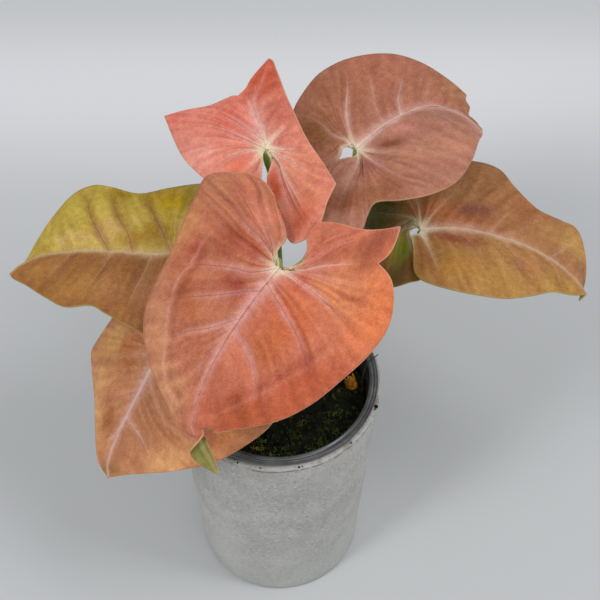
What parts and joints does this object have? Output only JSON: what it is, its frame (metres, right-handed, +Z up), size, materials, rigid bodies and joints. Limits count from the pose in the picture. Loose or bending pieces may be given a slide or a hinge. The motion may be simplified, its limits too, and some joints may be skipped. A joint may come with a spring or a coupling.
{
  "type": "potted arrowhead plant",
  "caption": "Young arrowhead plant with broad pink and olive leaves on thin green stalks, in a nursery pot hung in a tall tapered grey cover pot.",
  "frame": {"origin": "centre of the cover pot's foot, on the surface it stands on", "axes": "+Z up along the pot's axis, -Y towards the largest leaf, +X towards the olive leaf at the right"},
  "size_m": [0.1906, 0.1399, 0.182],
  "materials": {
    "concrete": "matte, fine speckle",
    "plastic": "glossy, dark",
    "soil": "matte, crumbly, with flecks of moss",
    "leaf_pink": "satin leaf, pink with paler veins",
    "leaf_rose": "satin leaf, dusty rose with pale veins",
    "leaf_olive": "satin leaf, olive with pale veins",
    "stalk": "satin, green",
    "dry": "dry, matte"
  },
  "bodies": {
    "root": {"cover_pot": "concrete", "nursery_pot": "plastic", "soil": "soil", "blade_front": "leaf_pink", "blade_top": "leaf_pink", "blade_back": "leaf_rose", "blade_right": "leaf_olive", "blade_left": "leaf_olive", "blade_low": "leaf_rose", "stalk_front": "stalk", "stalk_top": "stalk", "stalk_back": "stalk", "stalk_right": "stalk", "stalk_left": "stalk", "stalk_low": "stalk", "dry_sheath": "dry", "root_thread": "dry"}
  },
  "joints": []
}
